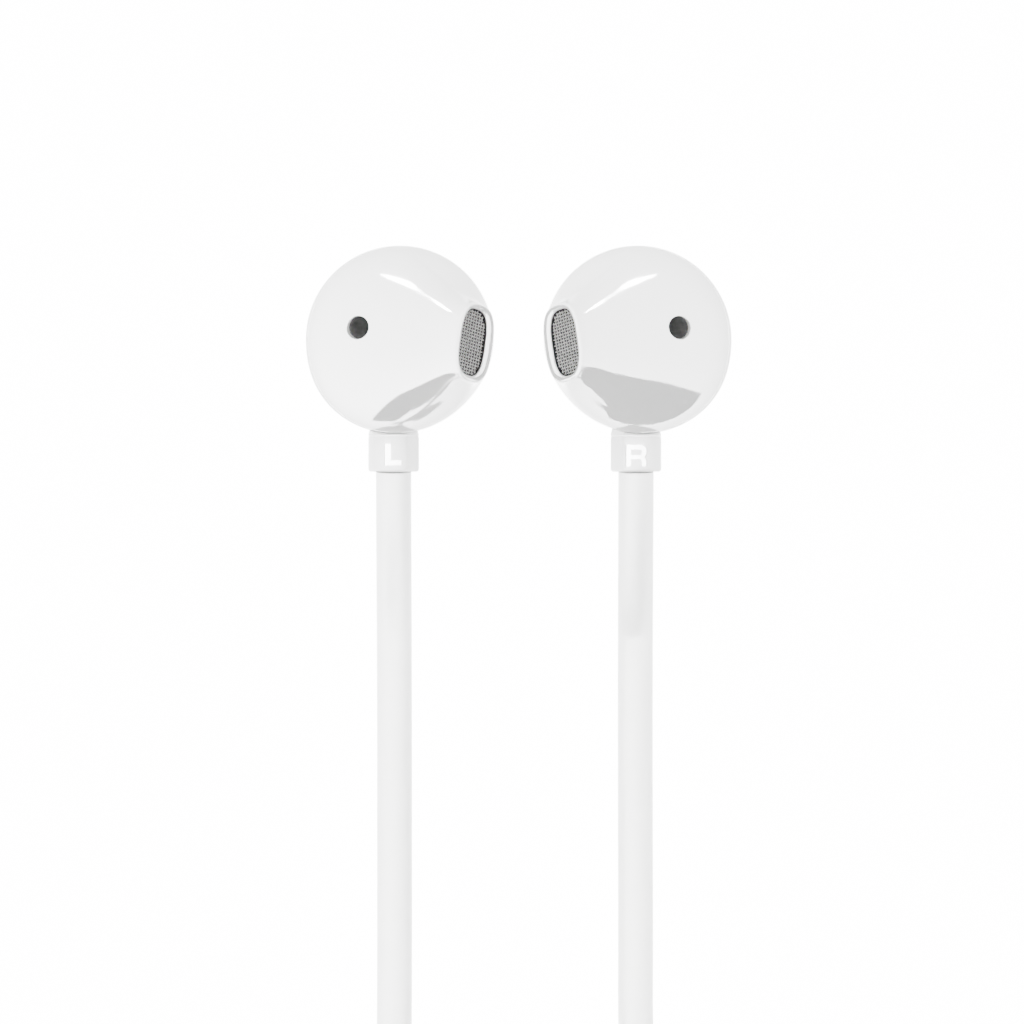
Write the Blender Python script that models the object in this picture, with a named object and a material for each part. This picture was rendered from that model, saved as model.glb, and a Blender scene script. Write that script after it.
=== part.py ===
"""Neckband earphones: two glossy white half-in-ear buds on thick silicone leads.

The set lies on its back on the floor, z = 0, with the buds' fronts facing +Z and their tops +Y.
X runs from the left ear to the right ear. The origin is on the floor, in the middle of the base
of everything that isn't cord. Both leads run straight down (-Y) out of the buds. The rest of
their length, the neck lead and the two pods that hang on the chest, is folded into one flat hank
below the buds, in line with them.
"""
import math

import bmesh
import bpy
from mathutils import Matrix, Vector

MM = 0.001

# Places of the main groups, in millimetres.
BUD_X = 11.38              # half the distance between the two buds' axes
BUD_Y = 66.85              # the line through both buds' axes
SEAM_Z = 7.5               # height of a bud's widest section when it lies on its bowl
HANK_Y = -49.85            # the middle of the folded hank
POD_X = {"control": -5.8, "battery": 5.9}

# Bud, in its own frame: +X to the nozzle, +Y to the crown, +Z out of the face.
HEAD_R = 9.0
HEAD_DRIFT = 0.45          # how far the head's underside leans away from the nozzle
WALL = 0.85
BOWL_DEPTH = SEAM_Z
BOWL_ROUNDNESS = 2.2       # exponent of the bowl's superellipse
BOWL_FLAT_R = 1.4
NOZZLE_TILT = math.radians(48.0)
NOZZLE_LEAN = math.radians(12.0)
MOUTH = Vector((7.2, -0.4, 5.15))
MOUTH_HALF = (1.8, 3.2)    # half width and half length of the opening
LIP_HALF = (2.6, 3.8)      # the same for the outside of the lip
LIP_SHIFT = 0.2            # the lip is thicker on the side away from the face
MOUTH_POWER = 2.8          # exponent of the oblong's superellipse
SEAM_T = 0.08              # how far up the front the two shells part
SEAM_GAP_T = 0.022
FACE_STEPS = 7
HEAD_SIDES = 36
HEAD_ANGLES = [2 * math.pi * k / HEAD_SIDES for k in range(HEAD_SIDES)]
GRILLE_DEPTH = 0.4
GRILLE_HALF = (1.62, 3.02)
DAMPER_HALF = (1.45, 2.85)
VENT = Vector((-4.0, 1.05, 3.46))
VENT_R = 1.11
VENT_TILT = math.radians(25.0)

# Leads and their collars.
LEAD_D = 3.4
LEAD_Z = SEAM_Z - 1.5
COLLAR_R = 2.43
COLLAR_END = -12.63        # the collar's lower face, below the bud's axis
COLLAR_X = {"l": -0.62, "r": -0.12}
MEET_GAP = 0.3             # between pieces that touch

# Hank: three runs on each side of the pods.
RUN_INNER = 12.8
RUN_OUTER = 23.2
FOLD_START = 27.0          # where the straight runs end and the folds begin
POD_END_CLEAR = 26.35
TIE_WIDTH = 6.0
TIE_THICK = 0.8
TIE_LIFT = TIE_THICK + MEET_GAP

# Pods.
POD_W, POD_L, POD_H = 10.5, 42.0, 7.5
POD_CORNER = 3.2
POD_WALL = 1.0
BOOT_L = 4.7
BOOT_Z = 3.0
KEY_Y = {"volume_up": 10.2, "play": 2.6, "volume_down": -5.0}
KEY_HALF = (2.2, 2.5)
KEY_CLEAR = 0.25
KEY_PROUD = 0.5
PORT_Y = -13.0
PORT_Z = 4.2


def clear_scene():
    for old in list(bpy.data.objects):
        bpy.data.objects.remove(old, do_unlink=True)


def make_material(name, colour, roughness, metallic=0.0):
    made = bpy.data.materials.new(name)
    made.use_nodes = True
    shader = made.node_tree.nodes["Principled BSDF"]
    shader.inputs["Base Color"].default_value = (*colour, 1.0)
    shader.inputs["Roughness"].default_value = roughness
    shader.inputs["Metallic"].default_value = metallic
    return made


def add_group(name, place):
    empty = bpy.data.objects.new(name, None)
    empty.location = Vector(place) * MM
    bpy.context.collection.objects.link(empty)
    return empty


def add_piece(name, mesh_builder, material, group=None, place=(0, 0, 0), smooth=35.0):
    """Turn a finished bmesh, drawn in millimetres, into a named object."""
    bmesh.ops.scale(mesh_builder, vec=(MM, MM, MM), verts=mesh_builder.verts)
    bmesh.ops.recalc_face_normals(mesh_builder, faces=mesh_builder.faces)
    mesh = bpy.data.meshes.new(name)
    mesh_builder.to_mesh(mesh)
    mesh_builder.free()
    mesh.shade_smooth()
    mesh.set_sharp_from_angle(angle=math.radians(smooth))
    mesh.materials.append(material)
    piece = bpy.data.objects.new(name, mesh)
    piece.location = Vector(place) * MM
    piece.parent = group
    bpy.context.collection.objects.link(piece)
    return piece


def loft(rings, ring_shaped=False):
    """Skin a stack of equal loops: capped at both ends, or joined last to first."""
    skin = bmesh.new()
    rows = [[skin.verts.new(point) for point in ring] for ring in rings]
    pairs = list(zip(rows, rows[1:]))
    if ring_shaped:
        pairs.append((rows[-1], rows[0]))
    else:
        skin.faces.new(rows[0])
        skin.faces.new(rows[-1])
    count = len(rows[0])
    for lower, upper in pairs:
        for i in range(count):
            j = (i + 1) % count
            skin.faces.new((lower[i], lower[j], upper[j], upper[i]))
    return skin


def circle(radius, height, sides, centre=(0, 0)):
    step = 2 * math.pi / sides
    return [Vector((centre[0] + radius * math.cos(i * step), centre[1] + radius * math.sin(i * step), height))
            for i in range(sides)]


def turned(profile, sides, ring_shaped=False):
    """A body turned about Z from (radius, height) pairs."""
    return loft([circle(radius, height, sides) for radius, height in profile], ring_shaped)


def rounded_box(half_x, half_y, corner, height, centre=(0, 0), per_corner=5):
    """A rectangle with round corners, as one loop at a height."""
    loop = []
    for quarter, (sx, sy) in enumerate(((1, 1), (-1, 1), (-1, -1), (1, -1))):
        for k in range(per_corner):
            turn = (quarter + k / (per_corner - 1)) * math.pi / 2
            x = sx * (half_x - corner) + corner * math.cos(turn)
            y = sy * (half_y - corner) + corner * math.sin(turn)
            loop.append(Vector((centre[0] + x, centre[1] + y, height)))
    return loop


def stepped_block(levels, centre=(0, 0), per_corner=5):
    """A block from (half x, half y, corner radius, height) levels."""
    return loft([rounded_box(hx, hy, corner, z, centre, per_corner) for hx, hy, corner, z in levels])


def bore(target, cutter_mesh, name, group, place=(0, 0, 0)):
    """Cut a helper body out of a piece."""
    cutter = add_piece(name, cutter_mesh, target.data.materials[0], group, place)
    cutter.hide_render = True
    cutter.display_type = "WIRE"
    cut = target.modifiers.new(name, "BOOLEAN")
    cut.operation = "DIFFERENCE"
    cut.solver = "EXACT"
    cut.object = cutter


# ---------------------------------------------------------------- the bud's surfaces

def drift(y):
    """Sideways lean of the head below its axis."""
    down = min(max(-y / HEAD_R, 0.0), 1.0)
    return -HEAD_DRIFT * down * down * (3 - 2 * down)


def head_outline(radius, angle):
    y = radius * math.sin(angle)
    return Vector((radius * math.cos(angle) + drift(y), y, 0))


def nozzle_axes():
    """The nozzle's axis, and the two axes of its oblong mouth."""
    axis = Vector((math.sin(NOZZLE_TILT), 0, math.cos(NOZZLE_TILT)))
    across = Vector((math.cos(NOZZLE_TILT), 0, -math.sin(NOZZLE_TILT)))
    along = Vector((0, 1, 0))
    cos_lean, sin_lean = math.cos(NOZZLE_LEAN), math.sin(NOZZLE_LEAN)
    return axis, across * cos_lean - along * sin_lean, along * cos_lean + across * sin_lean


def oblong(angle, half, shift, depth):
    """A point on the mouth's superellipse, at a depth behind the lip."""
    axis, across, along = nozzle_axes()
    power = 2 / MOUTH_POWER
    c, s = math.cos(angle), math.sin(angle)
    u = half[0] * math.copysign(abs(c) ** power, c) + shift
    v = half[1] * math.copysign(abs(s) ** power, s)
    return MOUTH + across * u + along * v - axis * depth


def face_point(angle, t, inside=False):
    """The front shell: a Bezier from the head's rim (t = 0) to the nozzle's lip (t = 1)."""
    axis = nozzle_axes()[0]
    away = (1 - math.cos(angle)) / 2          # 0 under the nozzle, 1 on the far side
    rise = 1.5 + 1.5 * away
    reach = 1.0 + 1.5 * away
    if inside:
        rim = head_outline(HEAD_R - WALL, angle)
        lip = oblong(angle, MOUTH_HALF, 0, 0)
        rise -= 0.3 + 0.3 * away
    else:
        rim = head_outline(HEAD_R, angle)
        lip = oblong(angle, LIP_HALF, LIP_SHIFT, 0)
    points = (rim, rim + Vector((0, 0, rise)), lip - axis * reach, lip)
    weights = ((1 - t) ** 3, 3 * t * (1 - t) ** 2, 3 * t * t * (1 - t), t ** 3)
    total = Vector()
    for point, weight in zip(points, weights):
        total += point * weight
    return total


def bowl_radius(z):
    """Outside radius of the rear bowl at a height below the widest section."""
    deep = min(max(-z / BOWL_DEPTH, 0.0), 1.0)
    return HEAD_R * (1 - deep ** BOWL_ROUNDNESS) ** (1 / BOWL_ROUNDNESS)


def bowl_rings(radius, depth):
    """Loops from just below the widest section down to the bowl's small flat."""
    power, steps = 2 / BOWL_ROUNDNESS, 5
    rings = []
    for k in range(1, steps + 1):
        turn = math.radians(80.0) * k / steps
        size, z = math.cos(turn) ** power, -depth * math.sin(turn) ** power
        rings.append([head_outline(radius, a) * size + Vector((0, 0, z)) for a in HEAD_ANGLES])
    rings.append([head_outline(BOWL_FLAT_R, a) + Vector((0, 0, -depth)) for a in HEAD_ANGLES])
    return rings


def mirrored(mesh_builder, side):
    """The right bud is the left one seen in a mirror."""
    bmesh.ops.scale(mesh_builder, vec=(side, 1, 1), verts=mesh_builder.verts)
    return mesh_builder


def make_front_shell(side):
    start = SEAM_T + SEAM_GAP_T
    stations = [start + (1 - start) * k / FACE_STEPS for k in range(FACE_STEPS + 1)]
    rings = [[face_point(a, t) for a in HEAD_ANGLES] for t in stations]
    rings += [[face_point(a, t, inside=True) for a in HEAD_ANGLES] for t in reversed(stations)]
    return mirrored(loft(rings, ring_shaped=True), side)


def make_rear_shell(side):
    rings = list(reversed(bowl_rings(HEAD_R, BOWL_DEPTH)))
    rings += [[face_point(a, t) for a in HEAD_ANGLES] for t in (0.0, SEAM_T)]
    rings += [[face_point(a, t, inside=True) for a in HEAD_ANGLES] for t in (SEAM_T, 0.0)]
    rings += bowl_rings(HEAD_R - WALL, BOWL_DEPTH - WALL)
    return mirrored(loft(rings), side)


def make_mouth_plate(half, depth, thickness, side):
    """A thin plate that fills the nozzle's oblong mouth."""
    plate_angles = [2 * math.pi * k / 24 for k in range(24)]
    rings = [[oblong(a, half, 0, d) for a in plate_angles] for d in (depth, depth + thickness)]
    return mirrored(loft(rings), side)


def make_on_face(profile, sides, side):
    """A body turned about the vent's axis, with heights measured out of the face."""
    made = turned(profile, sides)
    bmesh.ops.rotate(made, matrix=Matrix.Rotation(-VENT_TILT, 3, "Y"), verts=made.verts)
    bmesh.ops.translate(made, vec=VENT, verts=made.verts)
    return mirrored(made, side)


def make_along_lead(profile, sides, x):
    """A body turned about the lead's axis; its heights are distances along -Y."""
    made = turned(profile, sides)
    bmesh.ops.rotate(made, matrix=Matrix.Rotation(math.pi / 2, 3, "X"), verts=made.verts)
    bmesh.ops.translate(made, vec=(x, 0, LEAD_Z - SEAM_Z), verts=made.verts)
    return made


def make_collar(x, side):
    """A short sleeve whose top is hollowed to follow the bowl above it."""
    centre_z = LEAD_Z - SEAM_Z
    turns = [2 * math.pi * k / 28 for k in range(28)]

    def saddle(radius):
        ring = []
        for turn in turns:
            px = x + radius * math.cos(turn)
            pz = centre_z + radius * math.sin(turn)
            from_axis = px - side * drift(-HEAD_R)
            ring.append(Vector((px, -math.sqrt((bowl_radius(pz) + MEET_GAP) ** 2 - from_axis ** 2), pz)))
        return ring

    def flat(radius, y):
        return [Vector((x + radius * math.cos(turn), y, centre_z + radius * math.sin(turn))) for turn in turns]

    rings = [saddle(COLLAR_R * share) for share in (0.15, 0.55, 1.0)]
    rings += [flat(COLLAR_R, COLLAR_END + 0.25), flat(COLLAR_R - 0.25, COLLAR_END)]
    return loft(rings)


# ---------------------------------------------------------------- the driver in each bud

def add_driver(ear, group):
    """A 14 mm moving-coil driver: a pot of steel round a magnet, and a coil on a film cone."""
    add_piece(f"driver_basket_{ear}", turned((
        (7.1, -1.9), (7.1, 0.5), (6.6, 0.5), (6.6, -1.4), (4.75, -1.8), (4.75, -2.3)), 28, True),
        grey_plastic, group)
    add_piece(f"driver_yoke_{ear}", turned((
        (4.4, -3.6), (4.4, -0.8), (3.85, -0.8), (3.85, -3.0), (0.6, -3.0), (0.6, -3.6)), 24, True),
        plated_steel, group)
    add_piece(f"driver_magnet_{ear}", turned(((2.8, -2.85), (3.0, -2.7), (3.0, -1.5)), 24), magnet, group)
    add_piece(f"driver_top_plate_{ear}", turned(((3.05, -1.35), (3.05, -0.85)), 24), plated_steel, group)
    add_piece(f"voice_coil_{ear}", turned((
        (3.6, -1.9), (3.6, 0.1), (3.35, 0.1), (3.35, -1.9)), 24, True), copper, group)
    add_piece(f"diaphragm_{ear}", turned((
        (0.4, 1.1), (2.1, 0.85), (3.3, 0.35), (4.6, 0.65), (5.5, 0.6), (6.2, 0.3),
        (6.2, 0.4), (5.6, 0.75), (4.6, 0.8), (3.4, 0.5), (2.2, 1.0), (0.4, 1.25)), 24), film, group)


def add_bud(ear, side):
    group = add_group(f"ear_{ear}", (-side * BUD_X, BUD_Y, SEAM_Z))
    front = add_piece(f"front_shell_{ear}", make_front_shell(side), gloss_white, group, smooth=50.0)
    bore(front, make_on_face(((VENT_R, -2.2), (VENT_R, 2.2)), 24, side), f"vent_cutter_{ear}", group)
    rear = add_piece(f"rear_shell_{ear}", make_rear_shell(side), gloss_white, group, smooth=50.0)
    lead_x = COLLAR_X[ear]
    bore(rear, make_along_lead(((1.4, 7.0), (1.4, 9.6)), 20, lead_x), f"anchor_cutter_{ear}", group)
    add_piece(f"nozzle_grille_{ear}", make_mouth_plate(GRILLE_HALF, GRILLE_DEPTH, 0.2, side), steel_mesh, group)
    add_piece(f"nozzle_damper_{ear}", make_mouth_plate(DAMPER_HALF, 0.85, 0.3, side), damping_foam, group)
    add_piece(f"vent_mesh_{ear}", make_on_face(((1.4, -1.35), (1.4, -1.15)), 20, side), dark_mesh, group)
    add_driver(ear, group)
    add_piece(f"lead_anchor_{ear}", make_along_lead(((1.1, 7.5), (1.1, 8.55)), 16, lead_x), white_silicone, group)
    add_piece(f"collar_{ear}", make_collar(lead_x, side), white_silicone, group)


# ---------------------------------------------------------------- leads and hank

def smooth_route(points, spacing):
    """Evenly spaced points on a Catmull-Rom curve through the route's own points."""
    fine = []
    ends = [points[0] * 2 - points[1]] + points + [points[-1] * 2 - points[-2]]
    for a, b, c, d in zip(ends, ends[1:], ends[2:], ends[3:]):
        for k in range(20):
            t = k / 20
            fine.append((b * 2 + (c - a) * t + (a * 2 - b * 5 + c * 4 - d) * t * t
                         + (b * 3 - a - c * 3 + d) * t ** 3) / 2)
    fine.append(points[-1])
    length = sum((q - p).length for p, q in zip(fine, fine[1:]))
    count = max(2, round(length / spacing))
    spaced, walked, target = [fine[0]], 0.0, length / count
    for p, q in zip(fine, fine[1:]):
        step = (q - p).length
        while walked + step >= target and len(spaced) < count:
            spaced.append(p.lerp(q, (target - walked) / step))
            target += length / count
        walked += step
    return spaced + [fine[-1]]


def add_lead(ear, route):
    curve = bpy.data.curves.new(f"ear_lead_{ear}", "CURVE")
    curve.dimensions = "3D"
    curve.bevel_depth = LEAD_D / 2 * MM
    curve.bevel_resolution = 2
    curve.use_fill_caps = True
    points = smooth_route([Vector(point) for point in route], 2 * LEAD_D)
    spline = curve.splines.new("POLY")
    spline.points.add(len(points) - 1)
    for slot, point in zip(spline.points, points):
        slot.co = (*(point * MM), 1.0)
    curve.materials.append(white_silicone)
    bpy.context.collection.objects.link(bpy.data.objects.new(f"ear_lead_{ear}", curve))


def tie_lift(y):
    """The runs ride over the lower half of each tie."""
    near = max(0.0, 1 - max(abs(y) - TIE_WIDTH / 2 - 1, 0) / 9)
    return TIE_LIFT * near * near * (3 - 2 * near)


def hank_height(y):
    """One cord deep along the runs, two where the folds cross."""
    fold = min(max((abs(y) - FOLD_START) / 5, 0.0), 1.0)
    return LEAD_D * (1 + 1.03 * fold)


def make_hank():
    """The hank's outer shape: a flat racetrack with the two pods lying in its eye."""
    across = []
    side_steps, fold_steps = 16, 18
    for side in (1, -1):
        for k in range(side_steps):
            y = side * FOLD_START * (2 * k / side_steps - 1)
            across.append((side * RUN_OUTER, side * RUN_INNER, y, y))
        for k in range(fold_steps):
            turn = math.pi * k / fold_steps
            x = side * RUN_OUTER * math.cos(turn)
            y = side * (FOLD_START + RUN_OUTER * math.sin(turn))
            across.append((x, side * RUN_INNER * (1 - 2 * k / fold_steps), y,
                           side * (FOLD_START if k == 0 else POD_END_CLEAR)))
    outer_low, outer_high, inner_high, inner_low = [], [], [], []
    for x_out, x_in, y_out, y_in in across:
        low = tie_lift(y_out)
        outer_low.append(Vector((x_out, y_out, low)))
        outer_high.append(Vector((x_out, y_out, low + hank_height(y_out))))
        inner_high.append(Vector((x_in, y_in, low + hank_height(y_in))))
        inner_low.append(Vector((x_in, y_in, low)))
    return loft([outer_low, outer_high, inner_high, inner_low], ring_shaped=True)


def make_tie():
    """A band round one side's three runs, drawn about its own middle."""
    half_in = (RUN_OUTER - RUN_INNER) / 2 + MEET_GAP
    half_out = half_in + TIE_THICK
    high_in = LEAD_D / 2 + MEET_GAP
    high_out = high_in + TIE_THICK
    half_w = TIE_WIDTH / 2
    made = loft([rounded_box(half_out, high_out, 1.2, -half_w), rounded_box(half_out, high_out, 1.2, half_w),
                 rounded_box(half_in, high_in, 0.5, half_w), rounded_box(half_in, high_in, 0.5, -half_w)], True)
    bmesh.ops.rotate(made, matrix=Matrix.Rotation(math.pi / 2, 3, "X"), verts=made.verts)
    return made


# ---------------------------------------------------------------- the two pods

def make_housing(upper):
    """Half of a pod's pill-shaped case: a tray with a round-shouldered outside."""
    way = 1 if upper else -1
    middle = POD_H / 2
    outside = ((1.6, 3.75), (0.8, 3.4), (0.25, 2.7), (0.0, 1.6), (0.0, MEET_GAP / 2))
    inside = ((POD_WALL, MEET_GAP / 2), (POD_WALL, 1.5), (1.4, 2.4), (1.9, 2.75))
    rings = [rounded_box(POD_W / 2 - inset, POD_L / 2 - inset, POD_CORNER - inset, middle + way * high)
             for inset, high in outside + inside]
    return loft(rings)


def make_boot(way):
    """A pod's tapered strain relief; the lead meets its thin end."""
    made = turned(((2.5, 0.0), (2.4, 1.2), (1.95, BOOT_L)), 20)
    bmesh.ops.rotate(made, matrix=Matrix.Rotation(-way * math.pi / 2, 3, "X"), verts=made.verts)
    return made


def add_pod_case(pod, group):
    top = add_piece(f"{pod}_housing_top", make_housing(True), satin_white, group)
    bottom = add_piece(f"{pod}_housing_bottom", make_housing(False), satin_white, group)
    for end, way in (("upper", 1), ("lower", -1)):
        add_piece(f"{pod}_boot_{end}", make_boot(way), white_silicone, group,
                  (0, way * (POD_L / 2 + MEET_GAP), BOOT_Z))
    return top, bottom


def add_battery_pod():
    group = add_group("battery_pod", (POD_X["battery"], HANK_Y, 0))
    add_pod_case("battery", group)
    add_piece("battery_cell", stepped_block((
        (3.2, 13.2, 0.9, 1.5), (3.6, 13.6, 1.2, 2.0), (3.6, 13.6, 1.2, 5.5), (3.2, 13.2, 0.9, 5.9))),
        cell_foil, group, (0, -3.5, 0))
    add_piece("protection_board", stepped_block((
        (3.2, 2.6, 0.3, 3.2), (3.2, 2.6, 0.3, 4.0)), per_corner=3), circuit_green, group, (0, 14.2, 0))


def add_key(name, y, top, group):
    """A key with a retaining flange, a post under it, and the switch that the post presses."""
    hole = stepped_block([(KEY_HALF[0] + KEY_CLEAR, KEY_HALF[1] + KEY_CLEAR, 1.25, z) for z in (-0.9, 1.4)])
    bore(top, hole, f"{name}_cutter", group, (0, y, POD_H - 1.0))
    hx, hy = KEY_HALF
    add_piece(f"key_{name}", stepped_block((
        (0.7, 0.7, 0.3, -3.8), (0.7, 0.7, 0.3, -2.55), (2.85, 3.1, 1.3, -2.55), (2.85, 3.1, 1.3, -1.95),
        (hx, hy, 1.0, -1.95), (hx, hy, 1.0, -0.2), (hx - 0.2, hy - 0.2, 0.8, 0.0))),
        soft_key, group, (0, y, POD_H + KEY_PROUD))
    add_piece(f"switch_{name}", stepped_block((
        (1.6, 1.6, 0.2, 2.55), (1.6, 1.6, 0.2, 3.35), (0.6, 0.6, 0.2, 3.35), (0.6, 0.6, 0.2, 3.85)),
        per_corner=3), plated_steel, group, (0, y, 0))


def add_control_pod():
    group = add_group("control_pod", (POD_X["control"], HANK_Y, 0))
    top, bottom = add_pod_case("control", group)
    for name, y in KEY_Y.items():
        add_key(name, y, top, group)
    add_piece("main_board", stepped_block((
        (3.6, 17.5, 0.8, 1.6), (3.6, 17.5, 0.8, 2.4)), per_corner=4), circuit_green, group)
    add_piece("radio_shield", stepped_block((
        (2.6, 1.8, 0.3, 2.55), (2.6, 1.8, 0.3, 3.8)), per_corner=3), plated_steel, group, (0, 14.3, 0))
    add_piece("microphone", stepped_block((
        (0.75, 1.2, 0.2, 2.55), (0.75, 1.2, 0.2, 3.45)), per_corner=3), plated_steel, group, (2.7, 6.4, 0))
    lens_y = 15.5
    bore(top, turned(((0.95, -0.9), (0.95, 1.4)), 16), "lens_cutter", group, (0, lens_y, POD_H - 1.0))
    add_piece("status_lens", turned(((0.7, 6.6), (0.7, 7.5), (0.5, 7.6)), 16), lens_milky, group, (0, lens_y, 0))
    add_port(top, bottom, group)


def add_port(top, bottom, group):
    """A charging socket that opens through the pod's outer side, across the parting line."""
    centre = (-POD_W / 2, PORT_Y, PORT_Z)
    for half, name in ((top, "port_cutter_top"), (bottom, "port_cutter_bottom")):
        opening = stepped_block(((1.85, 4.75, 1.2, -1.4), (1.85, 4.75, 1.2, 1.4)))
        bmesh.ops.rotate(opening, matrix=Matrix.Rotation(math.pi / 2, 3, "Y"), verts=opening.verts)
        bore(half, opening, name, group, centre)
    deep, wall = 6.3, 0.35
    shell = stepped_block(((1.6, 4.45, 1.2, deep), (1.6, 4.45, 1.2, 0.0),
                           (1.6 - wall, 4.45 - wall, 0.9, 0.0), (1.6 - wall, 4.45 - wall, 0.9, deep - wall)))
    bmesh.ops.rotate(shell, matrix=Matrix.Rotation(math.pi / 2, 3, "Y"), verts=shell.verts)
    add_piece("usb_socket", shell, plated_steel, group, (-POD_W / 2 + 0.25, PORT_Y, PORT_Z))


# ---------------------------------------------------------------- the whole set

clear_scene()
gloss_white = make_material("gloss_white_abs", (0.84, 0.84, 0.84), 0.16)
satin_white = make_material("satin_white_abs", (0.82, 0.82, 0.82), 0.35)
white_silicone = make_material("white_silicone", (0.8, 0.8, 0.8), 0.5)
soft_key = make_material("soft_touch_key", (0.62, 0.63, 0.64), 0.55)
steel_mesh = make_material("stainless_wire_mesh", (0.62, 0.62, 0.61), 0.3, 1.0)
dark_mesh = make_material("dark_damping_mesh", (0.06, 0.06, 0.06), 0.7)
damping_foam = make_material("open_cell_damper", (0.05, 0.05, 0.05), 0.95)
grey_plastic = make_material("glass_filled_nylon", (0.08, 0.08, 0.085), 0.55)
plated_steel = make_material("nickel_plated_steel", (0.66, 0.64, 0.6), 0.28, 1.0)
magnet = make_material("nickel_coated_magnet", (0.5, 0.5, 0.5), 0.22, 1.0)
copper = make_material("enamelled_copper", (0.8, 0.36, 0.18), 0.35, 1.0)
film = make_material("polyester_film", (0.55, 0.56, 0.58), 0.25)
cell_foil = make_material("pouch_cell_foil", (0.7, 0.7, 0.69), 0.3, 1.0)
circuit_green = make_material("solder_mask", (0.02, 0.16, 0.08), 0.4)
lens_milky = make_material("milky_light_pipe", (0.85, 0.87, 0.88), 0.3)

add_bud("l", 1)
add_bud("r", -1)
lead_start = BUD_Y + COLLAR_END - MEET_GAP
add_lead("l", ((-12.0, lead_start, 6.0), (-12.0, 49, 5.35), (-12.0, 42, 3.9), (-12.0, 34, 2.4), (-12.0, 27, 1.75),
               (-12.0, 18, 1.71), (-12.0, 9, 1.71), (-12.05, -1.7, 1.71)))
add_lead("r", ((11.26, lead_start, 6.0), (11.26, 49, 5.35), (11.26, 42, 3.9), (11.27, 34, 2.4), (11.28, 27, 1.75),
               (11.3, 18, 1.71), (11.32, 9, 1.71), (11.34, -1.7, 1.71)))
add_piece("lead_hank", make_hank(), white_silicone, None, (0, HANK_Y, 0))
for tie_name, tie_side in (("tie_left", -1), ("tie_right", 1)):
    add_piece(tie_name, make_tie(), white_silicone, None,
              (tie_side * (RUN_INNER + RUN_OUTER) / 2, HANK_Y, TIE_LIFT + LEAD_D / 2))
add_battery_pod()
add_control_pod()
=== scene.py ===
"""Looks of the neckband earphones: everything the CAD leaves plain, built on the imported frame.

The set lies on its back, buds at the top (+Y), the folded hank below them. Lengths are in
millimetres in this file and turned into metres by MM, apart from what the frame gives.
"""
import math

import bmesh
import bpy
from mathutils import Matrix, Vector


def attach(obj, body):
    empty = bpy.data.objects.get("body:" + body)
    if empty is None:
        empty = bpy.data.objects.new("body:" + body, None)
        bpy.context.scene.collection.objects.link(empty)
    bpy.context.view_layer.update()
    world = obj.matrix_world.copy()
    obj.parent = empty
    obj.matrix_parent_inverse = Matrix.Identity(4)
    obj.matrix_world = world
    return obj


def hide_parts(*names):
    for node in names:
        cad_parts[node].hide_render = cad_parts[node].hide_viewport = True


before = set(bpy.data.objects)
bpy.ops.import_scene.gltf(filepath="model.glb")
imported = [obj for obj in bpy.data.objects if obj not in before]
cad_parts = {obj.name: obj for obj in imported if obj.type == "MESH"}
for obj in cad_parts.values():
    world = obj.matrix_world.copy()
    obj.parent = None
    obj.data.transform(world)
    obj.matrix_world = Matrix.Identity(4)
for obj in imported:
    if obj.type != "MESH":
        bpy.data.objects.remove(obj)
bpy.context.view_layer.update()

MM = 0.001


# ---------------------------------------------------------------- camera, floor and light
# A long lens straight above the buds, so that both faces are seen square on. The whole studio
# is white: a bright floor, a soft sky a little brighter at the left, and a few cards that the
# gloss picks up.

BUD_Y = 66.85
SEAM_Z = 7.5
VIEW_CENTRE = Vector((-0.64, BUD_Y - 16.5, SEAM_Z))
VIEW_WIDTH = 98.0
LENS, SENSOR = 200.0, 36.0
SKY_LIGHT = 1.45
DOME_R = 900.0
GLOSS_LOW, GLOSS_HIGH, GLOSS_FULL_AT = 13.0, 90.0, 0.7
STRIP_GLOW, FLOOR_GLOW, FLOOR_PAINT = 420.0, 15.0, 0.6
SIDE_SHARE = 0.08
BOX_SIDE_SHARE = 0.2
FAR_SHARE = 0.22


def link(made):
    bpy.context.collection.objects.link(made)
    return made


def add_node(tree, kind, inputs=(), **settings):
    """Add a shader node, set its properties, and fill its sockets with values or other nodes' outputs."""
    node = tree.nodes.new("ShaderNode" + kind)
    for name, value in settings.items():
        setattr(node, name, value)
    for socket, value in dict(inputs).items():
        if isinstance(value, bpy.types.NodeSocket):
            tree.links.new(value, node.inputs[socket])
        else:
            node.inputs[socket].default_value = value
    return node


def add_camera():
    data = bpy.data.cameras.new("camera")
    data.lens = LENS
    data.sensor_width = SENSOR
    camera = link(bpy.data.objects.new("camera", data))
    camera.location = (VIEW_CENTRE + Vector((0, 0, VIEW_WIDTH * LENS / SENSOR))) * MM
    bpy.context.scene.camera = camera


def glowing(name, strength, paint=0.0, clear=False):
    """A lit white card, with some plain paint under the glow where it has to take a shadow. A
    clear one adds its glow to what lies behind it, so pieces that it isn't for look through it."""
    made = bpy.data.materials.new(name)
    made.use_nodes = True
    tree = made.node_tree
    tree.nodes.clear()
    glow = add_node(tree, "Emission", {"Strength": strength})
    if clear:
        under = add_node(tree, "BsdfTransparent")
    else:
        under = add_node(tree, "BsdfDiffuse", {"Color": (paint, paint, paint, 1)})
    both = add_node(tree, "AddShader", {0: glow.outputs[0], 1: under.outputs[0]})
    add_node(tree, "OutputMaterial", {"Surface": both.outputs[0]})
    return made


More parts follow.
